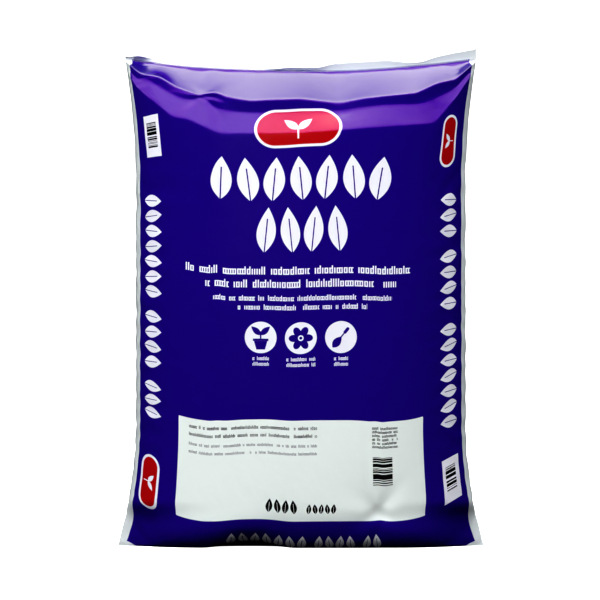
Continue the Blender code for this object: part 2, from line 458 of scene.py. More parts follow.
def shared_ids(grid):
    """Vertex of each point of the grid: points that fall together share one."""
    rows, ring = grid.shape[:2]
    ids = np.arange(rows * ring).reshape(rows, ring)
    for place in (0, COLUMNS):
        ids[:BASE_ROWS, place] = ids[BASE_ROWS, place]
    back = np.arange(COLUMNS + 1, ring)
    ids[0, back] = ids[0, ring - back]
    _, packed = np.unique(ids, return_inverse=True)
    return packed.reshape(rows, ring)


def film_faces(grid, ids):
    """Corners of each face as vertices and as film coordinates. Repeated corners are left out."""
    rows, ring = grid.shape[:2]
    across, up = film_coordinates(grid)
    up = up + FILM_START
    quads = []
    for row in range(rows - 1):
        for i in range(ring):
            quads.append(((row, i), (row, i + 1), (row + 1, i + 1), (row + 1, i)))
    top = rows - 1
    for i in range(COLUMNS):
        quads.append(((top, i), (top, i + 1), (top, ring - i - 1), (top, ring - i)))
    faces = []
    film = []
    for quad in quads:
        on_far_half = min(place for _, place in quad) >= 3 * COLUMNS // 2
        turn = FILM_ROUND if on_far_half else 0.0
        corners = {}
        for row, place in quad:
            vertex = ids[row, place % ring]
            corners.setdefault(vertex, (across[row, place] - turn, up[row, place]))
        faces.append([int(vertex) for vertex in corners])
        film.extend((u / FILM_ROUND + 0.5, v / FILM_ROOM) for u, v in corners.values())
    return faces, film


def blurred(grid):
    """The grid averaged with its neighbours, round the ring and up the rows."""
    for _ in range(BLUR_PASSES):
        grid = (np.roll(grid, 1, axis=1) + 2 * grid + np.roll(grid, -1, axis=1)) / 4
        padded = np.concatenate([grid[:1], grid, grid[-1:]])
        grid = (padded[:-2] + 2 * padded[1:-1] + padded[2:]) / 4
    return grid


def hold_weights(grid):
    """How firmly the fill holds each point: fully at the bottom, the seal and the fin."""
    rows = len(grid)
    row = np.arange(rows)[:, None]
    seal = rows - FIN_ROWS - 1
    held = np.where((row <= BASE_ROWS + 1) | (row >= seal - 1), 1.0, WALL_HOLD)
    return np.broadcast_to(held, grid.shape[:2])


def pucker_by_cloth(context, mesh, grid, ids):
    """Adds the small wrinkles that slightly spare film takes when the fill presses on it."""
    piece = bpy.data.objects.new("film_trial", mesh.copy())
    context.scene.collection.objects.link(piece)
    weights = np.zeros(len(mesh.vertices))
    weights[ids] = hold_weights(grid)
    group = piece.vertex_groups.new(name="fill")
    for index, weight in enumerate(weights):
        group.add([index], float(weight), "REPLACE")
    cloth = piece.modifiers.new("cloth", "CLOTH")
    settings = cloth.settings
    settings.quality = SIM_QUALITY
    settings.mass = SIM_MASS
    settings.tension_stiffness = SIM_STRETCH
    settings.compression_stiffness = SIM_STRETCH
    settings.shear_stiffness = SIM_SHEAR
    settings.bending_stiffness = SIM_BENDING
    settings.use_pressure = True
    settings.uniform_pressure_force = SIM_PRESSURE
    settings.vertex_group_mass = group.name
    settings.pin_stiffness = SIM_HOLD
    settings.shrink_min = -SPARE_FILM
    settings.effector_weights.gravity = 0.0
    cloth.point_cache.frame_start = 1
    cloth.point_cache.frame_end = SIM_FRAMES
    for step in range(1, SIM_FRAMES + 1):
        context.scene.frame_set(step)
    settled = piece.evaluated_get(context.evaluated_depsgraph_get())
    points = np.empty(len(mesh.vertices) * 3)
    settled.data.vertices.foreach_get("co", points)
    context.scene.frame_set(1)
    bpy.data.objects.remove(piece)
    moved = points.reshape(-1, 3)[ids] - grid
    wrinkles = moved - blurred(moved)
    length = np.linalg.norm(wrinkles, axis=2, keepdims=True)
    capped = wrinkles * (np.tanh(length / WRINKLE_CAP) * WRINKLE_CAP / np.maximum(length, LEAST_LENGTH))
    return capped * wrinkle_shares(grid)


def wrinkle_shares(grid):
    """Share of the wrinkles that each place keeps: few over the print and the shoulder."""
    rows, ring = grid.shape[:2]
    x, y, z = grid[..., 0], grid[..., 1], grid[..., 2]
    side_edge = ease(np.abs(x) / LINE_HALF_WIDTH, *SIDE_FADE)
    front = np.where(y < 0, FRONT_WRINKLES + SIDE_WRINKLES * side_edge, BACK_WRINKLES)
    start, end = (SHOULDER_HEIGHT + shift for shift in SHOULDER_FADE)
    over_shoulder = 1 - SHOULDER_LOSS * ease(z, start, end)
    row = np.arange(rows)[:, None]
    free = ((row > BASE_ROWS) & (row < rows - FIN_ROWS - 1)).astype(float)
    return (front * over_shoulder * free)[..., None]


def film_mesh(context, shape):
    """Closed mesh of the film with the film's coordinates as its UV map."""
    grid = film_grid(shape)
    ids = shared_ids(grid)
    faces, film = film_faces(grid, ids)
    points = np.empty((ids.max() + 1, 3))
    points[ids] = grid
    mesh = bpy.data.meshes.new("bag_film")
    mesh.from_pydata(points.tolist(), [], faces)
    layer = mesh.uv_layers.new(name="film")
    layer.data.foreach_set("uv", np.array(film, dtype=np.float32).ravel())
    points[ids] = grid + pucker_by_cloth(context, mesh, grid, ids)
    mesh.vertices.foreach_set("co", points.ravel())
    mesh.update()
    mesh.shade_smooth()
    return mesh


# Shader maths


def adds(operation):
    """An operator of Wire that adds one kind of Math node."""

    def add_node(*inputs):
        return inputs[0].math(operation, *inputs)

    return add_node


class Wire:
    """One output of a node. Python's operators on it add Math nodes."""

    def __init__(self, graph, socket):
        self.graph = graph
        self.socket = socket

    def math(self, operation, *inputs):
        return self.graph.node("ShaderNodeMath", {"operation": operation}, inputs)

    def __rsub__(self, other):
        return self.math("SUBTRACT", other, self)

    __add__ = __radd__ = adds("ADD")
    __sub__ = adds("SUBTRACT")
    __mul__ = __rmul__ = adds("MULTIPLY")
    __truediv__ = adds("DIVIDE")
    __mod__ = adds("FLOORED_MODULO")
    __pow__ = adds("POWER")
    __abs__ = adds("ABSOLUTE")
    __lt__ = adds("LESS_THAN")
    __gt__ = adds("GREATER_THAN")
    __and__ = adds("MINIMUM")
    __or__ = adds("MAXIMUM")
    floor = adds("FLOOR")


class Graph:
    """Adds nodes to the tree of a material, a light or the world."""

    def __init__(self, owner):
        owner.use_nodes = True
        self.tree = owner.node_tree
        self.tree.nodes.clear()

    def plug(self, socket, value):
        if isinstance(value, Wire):
            self.tree.links.new(value.socket, socket)
        elif socket.type == "RGBA":
            socket.default_value = (*value[:3], 1.0)
        else:
            socket.default_value = value

    def outputs(self, kind, settings, inputs):
        """Adds a node and gives its outputs."""
        node = self.tree.nodes.new(kind)
        for name, value in settings.items():
            setattr(node, name, value)
        pairs = inputs.items() if isinstance(inputs, dict) else enumerate(inputs)
        for key, value in pairs:
            self.plug(node.inputs[key], value)
        return [Wire(self, socket) for socket in node.outputs]

    def node(self, kind, settings, inputs, output=0):
        return self.outputs(kind, settings, inputs)[output]

    def mix(self, factor, first, second):
        """Colour that is first where the factor is 0 and second where it is 1."""
        return self.node("ShaderNodeMix", {"data_type": "RGBA"}, {0: factor, 6: first, 7: second}, 2)

    def inside(self, distance):
        """1 where the distance to an outline is below zero, with a soft edge."""
        settings = {"operation": "MULTIPLY_ADD", "use_clamp": True}
        return self.node("ShaderNodeMath", settings, [distance, -1 / PRINT_BLUR, 0.5])

    def surface(self, shader):
        self.outputs("ShaderNodeOutputMaterial", {}, [shader])


# Places of the print on the film: across from the front's middle, up from the bottom seal

PRINT_BLUR = 0.0005
SIDE_MARGIN = 0.0155
PRINT_FOOT = 0.0145
PRINT_HEAD = 0.6655
PRINT_MIDDLE = (PRINT_FOOT + PRINT_HEAD) / 2

# The side margins narrow towards both ends, from this far above and below the print's middle
NARROW_FROM = 0.260
NARROWING = 0.10

STRIP_EDGE = 0.160

PANEL_HALF_WIDTH = 0.1505
PANEL_FOOT = 0.0895
PANEL_HEAD = 0.2115
PANEL_BEND = 0.24

BADGE_AT = (-0.003, 0.5670)
BADGE_SIZE = (0.104, 0.050)
LEFT_BADGE_AT = (-0.188, 0.107)
RIGHT_BADGE_AT = (0.181, 0.549)
SIDE_BADGE_SIZE = (0.068, 0.028)
BADGE_BORDER = 0.0032

UPPER_LEAVES = (-0.1105, 0.1105, 0.4775, 0.5310, 7)
LOWER_LEAVES = (-0.0560, 0.0590, 0.4145, 0.4700, 4)
LEFT_LEAVES = ((-0.4785, -0.3420, 7), (-0.3290, -0.2515, 4), (-0.2380, -0.1870, 3))
RIGHT_LEAVES = ((0.1750, 0.3140, 7), (0.3280, 0.4090, 4), (0.4220, 0.4826, 3))
STRIP_LEAF_TIPS = (-0.2005, -0.1745)
FOOT_LEAVES = ((-0.0910, 0.0080, 7), (0.0150, 0.0660, 4), (0.0730, 0.0967, 2))
FOOT_LEAF_TIPS = (0.0460, 0.0700)
PANEL_LARGE_LEAVES = (-0.0430, -0.0040, 0.0985, 0.1155, 4)
PANEL_SMALL_LEAVES = (0.0060, 0.0430, 0.0985, 0.1105, 5)

WORD_ROWS = (
    (-0.1420, 0.1380, 0.3880, 0.0098),
    (-0.1170, 0.1165, 0.3720, 0.0098),
    (-0.1110, 0.1110, 0.3560, 0.0066),
    (-0.0805, 0.0805, 0.3450, 0.0066),
)

PANEL_ROUNDING = 0.001
PANEL_CODE = (0.0868, 0.1108, 0.1340, 0.1680)
LEFT_LABEL = (-0.1940, -0.1705, 0.5250, 0.5785)
LEFT_CODE = (-0.1903, -0.1751, 0.5350, 0.5690)
RIGHT_LABEL = (0.1745, 0.2000, 0.0840, 0.1390)
RIGHT_CODE = (0.1788, 0.1940, 0.0978, 0.1290)

# Strokes on the panel: left, right, foot, height, rows, distance between rows and seed
PANEL_GREY_WORDS = (-0.1370, 0.0195, 0.1695, 0.0036, 2, 0.0095, 95.0)
PANEL_BLACK_WORDS = (-0.1370, 0.0195, 0.1905, 0.0042, 2, 0.0095, 70.0)
PANEL_SMALL_WORDS = (0.0862, 0.1180, 0.1790, 0.0034, 6, 0.0045, 80.0)

DISC_PITCH = 0.0486
DISC_RADIUS = 0.0193
DISC_UP = 0.3110
CAPTION_HALF_WIDTHS = (0.0100, 0.0175, 0.0085)
CAPTION_FEET = (0.2833, 0.2765)
CAPTION_HEIGHT = 0.0046

# Stripes: their pitch and the share of them that is left out
CODE_PITCH = 0.0007
CODE_GAPS = 0.34

# Strokes: pitch and width as shares of their height and pitch, and the shares of white noise that
# make a stroke tall, join it to the next or leave a gap
STROKE_PITCH = 0.30
STROKE_SHARE = 0.60
TALL_FROM = 0.8
LOW_STROKE = 0.72
JOINED_UNDER = 0.45
JOIN_MIDDLE = 0.36
JOIN_GAP = 0.22
WORD_GAPS = 0.15

# Leaves: width, sway, taper and vein
LEAF_SHARE = 0.80
LEAF_SWAY = 0.10
LEAF_TAPER = 0.25
VEIN_SHARE = 0.05
VEIN_TOP = 0.5

SIGN_SIZE = 1.06
SIGN_SEED = 100
WORD_SEED = 7.0


class Pattern:
    """Masks of the printed shapes, from the film's coordinates."""

    def __init__(self, graph, across, up):
        self.graph = graph
        self.across = across
        self.up = up

    def at(self, across, up, turn=0.0):
        """The same pattern seen from another point, turned anticlockwise by an angle."""
        x = self.across - across
        y = self.up - up
        if turn:
            c, s = math.cos(turn), math.sin(turn)
            x, y = x * c + y * s, y * c - x * s
        return Pattern(self.graph, x, y)

    def swapped(self, sign):
        """The pattern read along the film: downwards for sign 1 and upwards for sign -1."""
        return Pattern(self.graph, self.up * -sign, self.across * sign)

    def bent(self, bend):
        """The pattern with its rows bent down towards both sides."""
        return Pattern(self.graph, self.across, self.up + self.across**2 * bend)

    def box(self, left, right, low, high, rounding=0.0):
        x = abs(self.across - (left + right) / 2) - ((right - left) / 2 - rounding)
        y = abs(self.up - (low + high) / 2) - ((high - low) / 2 - rounding)
        if not rounding:
            return self.graph.inside(x | y)
        corner = ((x | 0.0) ** 2 + (y | 0.0) ** 2) ** 0.5
        return self.graph.inside(corner + ((x | y) & 0.0) - rounding)

    def centred(self, width, height, rounding=0.0):
        return self.box(-width / 2, width / 2, -height / 2, height / 2, rounding)

    def radius(self):
        return (self.across**2 + self.up**2) ** 0.5

    def disc(self, radius):
        return self.graph.inside(self.radius() - radius)

    def leaf(self, width, height, vein=0.0):
        """Pointed leaf, fuller below its middle, standing on its stem at the centre's level."""
        t = self.up * (2 / height)
        edge = (1 - t * t) * (1 - t * LEAF_TAPER) * (width / 2)
        blade = self.graph.inside(abs(self.across) - edge)
        if not vein:
            return blade
        rib = (abs(self.across) < vein / 2) & (t < VEIN_TOP)
        return blade & (1 - rib)

    def leaf_row(self, start, end, low, high, count):
        """Row of upright leaves that sway to the left and right in turn."""
        pitch = (end - start) / count
        cell = (self.across - start) / pitch
        index = cell.floor()
        odd = (index % 2) * 2 - 1
        middle = (low + high) / 2
        up = self.up - middle
        across = (cell - index - 0.5) * pitch + odd * up * LEAF_SWAY
        upright = Pattern(self.graph, across, up)
        leaf = upright.leaf(pitch * LEAF_SHARE, high - low, pitch * VEIN_SHARE)
        return leaf & self.box(start, end, low, high)

    def words(self, start, end, low, height, rows=1, leading=0.0, seed=0.0):
        """Rows of small upright strokes, some joined, in uneven groups."""
        row = ((self.up - low) / leading).floor() if leading else 0.0
        y = (self.up - low - row * leading) / height
        cell = (self.across - start) / (height * STROKE_PITCH)
        index = cell.floor()
        noises = []
        for place in (index, (index / 2).floor()):
            vector = self.graph.node("ShaderNodeCombineXYZ", {}, [place, row + seed])
            kind = {"noise_dimensions": "2D"}
            noises.append(self.graph.node("ShaderNodeTexWhiteNoise", kind, {"Vector": vector}))
        tall = (noises[0] > TALL_FROM) * (1 - LOW_STROKE) + LOW_STROKE
        joined = (abs(y - JOIN_MIDDLE) > JOIN_GAP) & (noises[0] < JOINED_UNDER)
        mark = (((cell - index) < STROKE_SHARE) | joined) & (y < tall) & (noises[1] > WORD_GAPS)
        return mark & self.box(start, end, low, low + leading * (rows - 1) + height)

    def stripes(self, left, right, low, high):
        """Uneven stripes across a box."""
        index = (self.up / CODE_PITCH).floor()
        noise = self.graph.node("ShaderNodeTexWhiteNoise", {"noise_dimensions": "1D"}, {"W": index})
        return (noise > CODE_GAPS) & self.box(left, right, low, high)

    def potted_sprout(self, size):
        """A pot with a rim, a stem and two leaves."""
        pot = self.at(0, -0.42 * size)
        taper = (pot.up * 0.28 + 0.34 * size) - abs(pot.across)
        clay = self.graph.inside(taper * -1) & pot.box(-size, size, -0.30 * size, 0.22 * size)
        rim = self.at(0, -0.14 * size).centred(0.92 * size, 0.14 * size)
        stem = self.at(0, 0.12 * size).centred(0.09 * size, 0.5 * size)
        mask = clay | rim | stem
        for side in (-1, 1):
            blade = self.at(side * 0.27 * size, 0.40 * size, -side * math.radians(48))
            mask = mask | blade.leaf(0.34 * size, 0.78 * size)
        return mask

    def flower(self, size):
        """Six petals round a ring and a dot."""
        angle = self.up.math("ARCTAN2", self.up, self.across)
        petals = self.radius() - (abs(self.up.math("COSINE", angle * 3)) * 0.30 + 0.42) * size
        return self.graph.inside(petals) & (1 - self.disc(0.17 * size)) | self.disc(0.09 * size)

    def trowel(self, size):
        """A pointed blade, a neck and a rounded grip, tilted."""
        tool = self.at(0, 0, math.radians(-40))
        blade = tool.at(0, -0.36 * size).leaf(0.46 * size, 0.84 * size)
        neck = tool.at(0, 0.16 * size).centred(0.08 * size, 0.36 * size)
        grip = tool.at(0, 0.50 * size).centred(0.19 * size, 0.44 * size, 0.09 * size)
        return blade | neck | grip

    def badge(self, width, height):
        """Masks of a pill-shaped badge: its white border with a sprout, and its red field."""
        rounding = min(width, height) / 2
        border = self.centred(width, height, rounding)
        inset = 2 * BADGE_BORDER
        field = self.centred(width - inset, height - inset, rounding - BADGE_BORDER)
        size = rounding * 0.9
        sprout = self.at(0, -0.30 * size).centred(0.09 * size, 0.7 * size)
        for side in (-1, 1):
            sprout = sprout | self.at(
                side * 0.36 * size, 0.18 * size, -side * math.radians(52)
            ).leaf(0.42 * size, 0.98 * size)
        return border, field & (1 - sprout)


def together(masks):
    """1 where any of the masks is 1."""
    return functools.reduce(operator.or_, masks)


def no_marks(film, prints):
    return []


def foot_row_marks(film, prints):
    """Leaves that run under the bag's front."""
    rows = [film.leaf_row(start, end, *FOOT_LEAF_TIPS, count) for start, end, count in FOOT_LEAVES]
    return [(together(rows), prints.white)]


def panel_marks(film, prints):
    """The pale panel with its strokes, its stripes and its rows of leaves."""
    film = film.bent(PANEL_BEND)
    edges = (-PANEL_HALF_WIDTH, PANEL_HALF_WIDTH, PANEL_FOOT, PANEL_HEAD)
    panel = film.box(*edges, PANEL_ROUNDING)
    grey = film.words(*PANEL_GREY_WORDS)
    black = film.words(*PANEL_BLACK_WORDS) | film.words(*PANEL_SMALL_WORDS)
    black = black | film.stripes(*PANEL_CODE)
    black = black | film.leaf_row(*PANEL_LARGE_LEAVES) | film.leaf_row(*PANEL_SMALL_LEAVES)
    return [(panel, prints.panel), (grey, prints.grey), (black, prints.black)]


def sign_marks(place, film, prints):
    """A white disc with a plain garden sign over two rows of strokes."""
    spot = film.at(place * DISC_PITCH, DISC_UP)
    draw = (spot.potted_sprout, spot.flower, spot.trowel)[place + 1]
    sign = draw(DISC_RADIUS * SIGN_SIZE)
    white = spot.disc(DISC_RADIUS)
    half_width = CAPTION_HALF_WIDTHS[place + 1]
    for foot in CAPTION_FEET:
        left = place * DISC_PITCH - half_width
        right = left + 2 * half_width
        white = white | film.words(left, right, foot, CAPTION_HEIGHT, seed=SIGN_SEED * foot)
    return [(white, prints.white), (sign, prints.ink)]


def word_marks(film, prints):
    """Four centred rows of strokes."""
    rows = [film.words(*row, seed=WORD_SEED * number) for number, row in enumerate(WORD_ROWS)]
    return [(together(rows), prints.white)]


def leaf_marks(film, prints):
    """Seven large leaves over four."""
    return [(film.leaf_row(*UPPER_LEAVES) | film.leaf_row(*LOWER_LEAVES), prints.white)]


def badge_marks(film, prints):
    border, field = film.at(*BADGE_AT).badge(*BADGE_SIZE)
    return [(border, prints.white), (field, prints.red)]


def strip_marks(sign, leaves, badge_at, label, code, film, prints):
    """Leaves that run along a side of the bag, a badge and a striped label."""
    along = film.swapped(sign)
    white = film.box(*label)
    for start, end, count in leaves:
        white = white | along.leaf_row(start, end, *STRIP_LEAF_TIPS, count)
    border, field = film.at(*badge_at).swapped(sign).badge(*SIDE_BADGE_SIZE)
    return [(white | border, prints.white), (field, prints.red), (film.stripes(*code), prints.black)]


SIGNS = [functools.partial(sign_marks, place) for place in (-1, 0, 1)]
LEFT_STRIP = functools.partial(strip_marks, 1, LEFT_LEAVES, LEFT_BADGE_AT, LEFT_LABEL, LEFT_CODE)
RIGHT_STRIP = functools.partial(strip_marks, -1, RIGHT_LEAVES, RIGHT_BADGE_AT, RIGHT_LABEL, RIGHT_CODE)

# What is printed in each zone, and the zone's left, right, low and high edges on the film
ZONES = {
    "ground": (no_marks, (-1.0, 1.0, 0.0, 1.0)),
    "foot_row": (foot_row_marks, (-STRIP_EDGE, STRIP_EDGE, 0.0300, 0.0795)),
    "panel": (panel_marks, (-STRIP_EDGE, STRIP_EDGE, 0.0795, 0.2250)),
    "left_sign": (SIGNS[0], (-0.0800, -DISC_PITCH / 2, 0.2600, 0.3380)),
    "middle_sign": (SIGNS[1], (-DISC_PITCH / 2, DISC_PITCH / 2, 0.2600, 0.3380)),
    "right_sign": (SIGNS[2], (DISC_PITCH / 2, 0.0800, 0.2600, 0.3380)),
    "words": (word_marks, (-STRIP_EDGE, STRIP_EDGE, 0.3380, 0.4060)),
    "leaves": (leaf_marks, (-STRIP_EDGE, STRIP_EDGE, 0.4060, 0.5365)),
    "badge": (badge_marks, (-0.0800, 0.0800, 0.5365, 0.6100)),
    "left_strip": (LEFT_STRIP, (-0.2150, -STRIP_EDGE, 0.0500, 0.6000)),
    "right_strip": (RIGHT_STRIP, (STRIP_EDGE, 0.2150, 0.0500, 0.6000)),
}


# Finish of the film

CRINKLE_SCALE = 38.0
CRINKLE_DETAIL = 3.0
CRINKLE_HEIGHT = 0.0016
GRAIN_SCALE = 420.0
GRAIN_DETAIL = 2.0
GRAIN_HEIGHT = 0.00005
RELIEF_STRENGTH = 0.35
PRINTED_ROUGHNESS = 0.10
PLAIN_ROUGHNESS = 0.14
ROUGHNESS_SPREAD = 0.08
CRINKLE_SHADE = 0.92


def crinkled(graph):
    """Object coordinates, and the slow crinkle of the film on them."""
    place = graph.outputs("ShaderNodeTexCoord", {}, [])[3]
    inputs = {"Vector": place, "Scale": CRINKLE_SCALE, "Detail": CRINKLE_DETAIL}
    return place, graph.node("ShaderNodeTexNoise", {}, inputs)


def gloss(graph, colour, crinkle, relief, roughness):
    """Gives the material its glossy surface."""
    inputs = {"Height": relief, "Strength": RELIEF_STRENGTH, "Distance": 1.0}
    bump = graph.node("ShaderNodeBump", {}, inputs)
    inputs = {"Base Color": colour, "Roughness": crinkle * ROUGHNESS_SPREAD + roughness, "Normal": bump}
    graph.surface(graph.node("ShaderNodeBsdfPrincipled", {}, inputs))


def film_material(prints, zone):
    """Glossy printed film, faintly crinkled, with one zone's marks on it."""
    material = bpy.data.materials.new(f"film_{zone}")
    graph = Graph(material)
    uv = graph.node("ShaderNodeUVMap", {"uv_map": "film"}, [])
    x, y, _ = graph.outputs("ShaderNodeSeparateXYZ", {}, [uv])
    across = (x - 0.5) * FILM_ROUND
    up = y * FILM_ROOM
    from_edge = abs(abs(across) - FLAT_HALF_WIDTH)
    from_middle = abs(up - PRINT_MIDDLE)
    from_ends = from_middle - (PRINT_HEAD - PRINT_FOOT) / 2
    margin = SIDE_MARGIN - ((from_middle - NARROW_FROM) | 0.0) * NARROWING
    bare = 1 - graph.inside((margin - from_edge) | from_ends)
    colour = graph.mix(bare, prints.ink, prints.bare)
    marks, _ = ZONES[zone]
    for mask, paint in marks(Pattern(graph, across, up), prints):
        colour = graph.mix(mask, colour, paint)
    place, crinkle = crinkled(graph)
    inputs = {"Vector": place, "Scale": GRAIN_SCALE, "Detail": GRAIN_DETAIL}
    grain = graph.node("ShaderNodeTexNoise", {}, inputs)
    relief = crinkle * CRINKLE_HEIGHT + grain * GRAIN_HEIGHT
    gloss(graph, colour, crinkle, relief, PRINTED_ROUGHNESS)
    return material


def plain_film(name, colour):
    """Glossy film of one colour."""
    material = bpy.data.materials.new(name)
    graph = Graph(material)
    _, crinkle = crinkled(graph)
    shade = graph.mix(crinkle, colour, tuple(part * CRINKLE_SHADE for part in colour))
    gloss(graph, shade, crinkle, crinkle * CRINKLE_HEIGHT, PLAIN_ROUGHNESS)
    return material


def paint_film(mesh, prints):
    """Gives each face the material of its zone of the print."""
    for zone in ZONES:
        mesh.materials.append(film_material(prints, zone))
    film = np.empty(len(mesh.loops) * 2, dtype=np.float32)
    mesh.uv_layers["film"].data.foreach_get("uv", film)
    starts = np.empty(len(mesh.polygons), dtype=np.int32)
    mesh.polygons.foreach_get("loop_start", starts)
    middles = np.add.reduceat(film.reshape(-1, 2), starts)
    counts = np.diff(np.append(starts, len(mesh.loops)))
    across = (middles[:, 0] / counts - 0.5) * FILM_ROUND
    up = middles[:, 1] / counts * FILM_ROOM
    zones = np.zeros(len(mesh.polygons), dtype=np.int32)
    for number, (_, (left, right, low, high)) in enumerate(ZONES.values()):
        zones[(across > left) & (across < right) & (up > low) & (up < high)] = number
    mesh.polygons.foreach_set("material_index", zones)
    mesh.update()


# Seams

# Share of the seal's width that the ribs cover
RIB_SPAN = 0.985

# The lap seam's ends, the place behind the bag from which its rays start, its counts, its
# thickness, and how it lies flat up to one share of its half width and tucks in up to another
LAP_FOOT = 0.010
LAP_TOP = 0.580
LAP_START = 0.30
LAP_COLUMNS = 13
LAP_ROWS = 200
LAP_THICKNESS = 0.0006
LAP_TUCK = 0.0004
LAP_FLAT_SHARE = 0.70
LAP_EDGE_SHARE = 0.98

RAY_LENGTH = 1.0
MERGE_DISTANCE = 0.00001


class Bench(Graph):
    """Adds nodes to a geometry tree whose named inputs are sockets of the modifier."""

    def __init__(self, name, inputs):
        self.tree = bpy.data.node_groups.new(name, "GeometryNodeTree")
        interface = self.tree.interface
        interface.new_socket("Geometry", in_out="OUTPUT", socket_type="NodeSocketGeometry")
        interface.new_socket("Geometry", in_out="INPUT", socket_type="NodeSocketGeometry")
        self.keys = {}
        for label, kind in inputs.items():
            socket = interface.new_socket(label, in_out="INPUT", socket_type=f"NodeSocket{kind}")
            self.keys[label] = socket.identifier
        entry = self.tree.nodes.new("NodeGroupInput")
        self.given = {socket.name: Wire(self, socket) for socket in entry.outputs}

    def joined(self, parts):
        join = self.tree.nodes.new("GeometryNodeJoinGeometry")
        for part in parts:
            self.plug(join.inputs[0], part)
        return Wire(self, join.outputs[0])

    def apply(self, context, piece, geometry, material, values):
        """Ends the tree, gives the piece its modifier and turns the result into a plain mesh."""
        real = self.node("GeometryNodeRealizeInstances", {}, [geometry])
        painted = self.node("GeometryNodeSetMaterial", {}, {"Geometry": real, "Material": material})
        self.outputs("NodeGroupOutput", {}, [painted])
        modifier = piece.modifiers.new("nodes", "NODES")
        modifier.node_group = self.tree
        for label, value in values.items():
            modifier[self.keys[label]] = value
        return finished(context, piece)


def seal_ribs(context, shape, seams, material):
    """Short upright ribs pressed through the fin along the top seal."""
    places = np.linspace(-RIB_SPAN, RIB_SPAN, COLUMNS + 1)
    line = film_points(shape, places, SEAL_HEIGHT, -1)
    line[:, 1] = seal_wave(line[:, 0])
    line[:, 2] += seams.rib_height / 2
    mesh = bpy.data.meshes.new("seal_ribs")
    mesh.from_pydata(line.tolist(), [(i, i + 1) for i in range(len(line) - 1)], [])
    piece = bpy.data.objects.new("seal_ribs", mesh)
    context.scene.collection.objects.link(piece)
    values = {
        "Pitch": seams.rib_pitch,
        "Width": seams.rib_width,
        "Depth": seams.rib_depth,
        "Height": seams.rib_height,
    }
    bench = Bench("seal ribs", dict.fromkeys(values, "Float"))
    given = bench.given
    curve = bench.node("GeometryNodeMeshToCurve", {}, [given["Geometry"]])
    inputs = {0: curve, "Length": given["Pitch"]}
    points = bench.node("GeometryNodeResampleCurve", {"mode": "LENGTH"}, inputs)
    size = bench.node("ShaderNodeCombineXYZ", {}, [given["Width"], given["Depth"], given["Height"]])
    rib = bench.node("GeometryNodeMeshCube", {}, {"Size": size})
    tangent = bench.node("GeometryNodeInputTangent", {}, [])
    turn = bench.node("FunctionNodeAlignRotationToVector", {"axis": "X"}, {"Vector": tangent})
    inputs = {"Points": points, "Instance": rib, "Rotation": turn}
    ribs = bench.node("GeometryNodeInstanceOnPoints", {}, inputs)
    return bench.apply(context, piece, ribs, material, values)


def lap_seam(context, film, seams, material):
    """Strip of overlapped film down the middle of the back, laid on the film by rays."""
    piece = bpy.data.objects.new("lap_seam", bpy.data.meshes.new("lap_seam"))
    context.scene.collection.objects.link(piece)
    bench = Bench("lap seam", {"Film": "Object", "Width": "Float", "Rise": "Float"})
    given = bench.given
    inputs = {
        "Size X": given["Width"],
        "Size Y": LAP_TOP - LAP_FOOT,
        "Vertices X": LAP_COLUMNS,
        "Vertices Y": LAP_ROWS,
    }
    grid = bench.node("GeometryNodeMeshGrid", {}, inputs)
    inputs = {
        "Geometry": grid,
        "Translation": (0.0, LAP_START, (LAP_TOP + LAP_FOOT) / 2),
        "Rotation": (math.pi / 2, 0.0, math.pi),
    }
    upright = bench.node("GeometryNodeTransform", {}, inputs)
    settings = {"transform_space": "RELATIVE"}
    *_, target = bench.outputs("GeometryNodeObjectInfo", settings, {"Object": given["Film"]})
    inputs = {"Target Geometry": target, "Ray Direction": (0.0, -1.0, 0.0), "Ray Length": RAY_LENGTH}
    _, hit, normal, *_ = bench.outputs("GeometryNodeRaycast", {}, inputs)
    place = bench.node("GeometryNodeInputPosition", {}, [])
    across = bench.node("ShaderNodeSeparateXYZ", {}, [place])
    inputs = {
        "Value": abs(across) / (given["Width"] * 0.5),
        "From Min": LAP_FLAT_SHARE,
        "From Max": LAP_EDGE_SHARE,
        "To Min": given["Rise"],
        "To Max": -LAP_TUCK,
    }
    proud = bench.node("ShaderNodeMapRange", {"interpolation_type": "SMOOTHSTEP"}, inputs)
    lift = bench.node("ShaderNodeVectorMath", {"operation": "SCALE"}, {0: normal, "Scale": proud})
    spot = bench.node("ShaderNodeVectorMath", {"operation": "ADD"}, [hit, lift])
    face = bench.node("GeometryNodeSetPosition", {}, {"Geometry": upright, "Position": spot})
    inputs = {"Mesh": face, "Offset Scale": -LAP_THICKNESS, "Individual": False}
    sunk = bench.node("GeometryNodeExtrudeMesh", {}, inputs)
    back = bench.node("GeometryNodeFlipFaces", {}, {"Mesh": sunk})
    inputs = {"Geometry": bench.joined([face, back]), "Distance": MERGE_DISTANCE}
    closed = bench.node("GeometryNodeMergeByDistance", {}, inputs)
    smooth = bench.node("GeometryNodeSetShadeSmooth", {}, {"Geometry": closed})
    values = {"Film": film, "Width": seams.lap_width, "Rise": seams.lap_rise}
    return bench.apply(context, piece, smooth, material, values)


def finished(context, piece):
    """Turns an object with modifiers into a plain mesh object of the same name."""
    name = piece.name
    evaluated = piece.evaluated_get(context.evaluated_depsgraph_get())
    mesh = bpy.data.meshes.new_from_object(evaluated)
    bpy.data.objects.remove(piece)
    mesh.name = name
    result = bpy.data.objects.new(name, mesh)
    context.scene.collection.objects.link(result)
    return result


# Studio

FLOOR_SIZE = 16.0
FLOOR_COLOUR = (0.95, 0.95, 0.95)
FLOOR_GLOW = 0.9
DOME_RADIUS = 7.9
DOME_COLOUR = (1.0, 1.0, 1.0)
DOME_GLOW = 1.0
DOME_UNSEEN_BY = ("diffuse", "glossy", "transmission", "volume_scatter", "shadow")
STAGE_ROUGHNESS = 0.9
STAGE_GLOSS = 0.1

